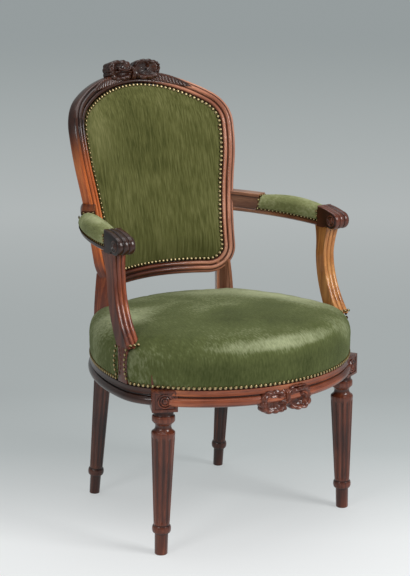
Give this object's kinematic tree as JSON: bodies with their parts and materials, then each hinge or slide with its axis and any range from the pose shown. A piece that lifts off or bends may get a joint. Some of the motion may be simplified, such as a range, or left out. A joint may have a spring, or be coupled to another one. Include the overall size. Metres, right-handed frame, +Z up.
{
  "type": "upholstered armchair",
  "caption": "Louis XVI style open armchair with a curved moulded back, scroll arms with padded rests, a round overstuffed seat and fluted turned legs, in green velvet.",
  "frame": {"origin": "on the floor, under the centre of the chair's bounding box", "axes": "+Z up, +Y to the rear, +X to the viewer's right when facing the chair's front; the sitter faces -Y"},
  "size_m": [0.5558, 0.5932, 0.911],
  "materials": {
    "polished_walnut": "french polish, satin to gloss",
    "beech": "bare",
    "green_velvet": "cotton velvet",
    "hair_stuffing": "curled hair and wadding",
    "jute_webbing": "woven jute",
    "hessian": "plain weave",
    "black_bottom_cloth": "plain weave",
    "steel_screws": "plain"
  },
  "bodies": {
    "root": {"arm_left": "polished_walnut", "arm_pad_cover_left": "green_velvet", "arm_pad_cover_right": "green_velvet", "arm_pad_stuffing_left": "hair_stuffing", "arm_pad_stuffing_right": "hair_stuffing", "arm_right": "polished_walnut", "arm_support_left": "polished_walnut", "arm_support_right": "polished_walnut", "back_hessian": "hessian", "back_leg_and_stile_left": "polished_walnut", "back_leg_and_stile_right": "polished_walnut", "back_rail": "beech", "back_stuffing": "hair_stuffing", "back_webbing_across": "jute_webbing", "back_webbing_upright": "jute_webbing", "corner_block_screws": "steel_screws", "corner_blocks": "beech", "crest_rail": "polished_walnut", "front_leg_left": "polished_walnut", "front_leg_right": "polished_walnut", "front_rail": "polished_walnut", "inside_back_cover": "green_velvet", "lower_back_rail": "polished_walnut", "mortise_pegs": "beech", "outside_back_cover": "green_velvet", "seat_bottom_cloth": "black_bottom_cloth", "seat_cover": "green_velvet", "seat_hessian": "hessian", "seat_stuffing": "hair_stuffing", "seat_webbing_front_to_back": "jute_webbing", "seat_webbing_side_to_side": "jute_webbing", "side_rail_left": "polished_walnut", "side_rail_right": "polished_walnut"}
  },
  "joints": []
}
